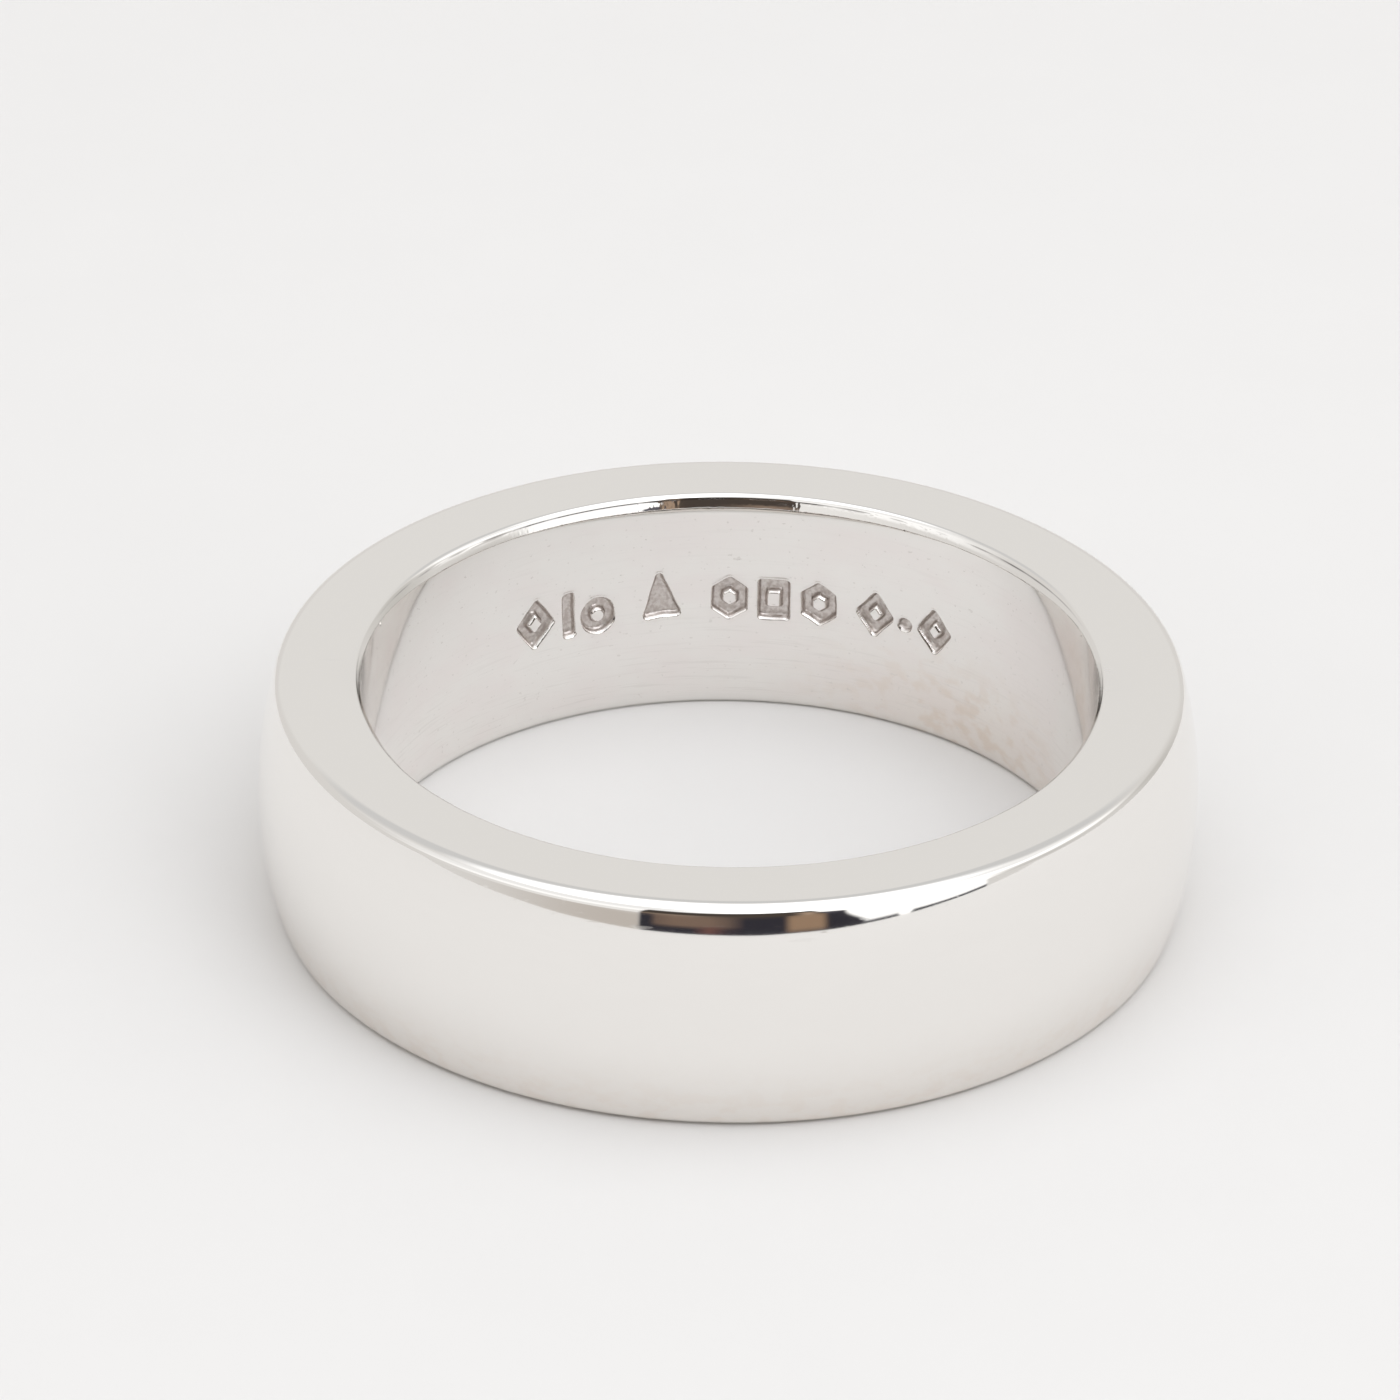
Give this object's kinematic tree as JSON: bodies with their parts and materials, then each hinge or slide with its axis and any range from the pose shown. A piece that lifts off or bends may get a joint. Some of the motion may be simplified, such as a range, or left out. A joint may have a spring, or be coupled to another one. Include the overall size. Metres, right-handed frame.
{
  "type": "wedding band",
  "caption": "Plain polished white-gold wedding band: a flat court ring with softly rounded edges and a row of small punched marks inside the finger hole.",
  "frame": {"origin": "centre of the finger hole, in the plane of the lower side face that the band lies on", "axes": "+Z along the axis of the finger hole, away from the face it lies on; -Y is the side nearest the viewer in the picture; the punched marks are on the +Y side"},
  "size_m": [0.021, 0.021, 0.0055],
  "materials": {
    "white_gold": "mirror-polished white gold, lightly scratched by wear"
  },
  "bodies": {
    "root": {"band": "white_gold"}
  },
  "joints": []
}
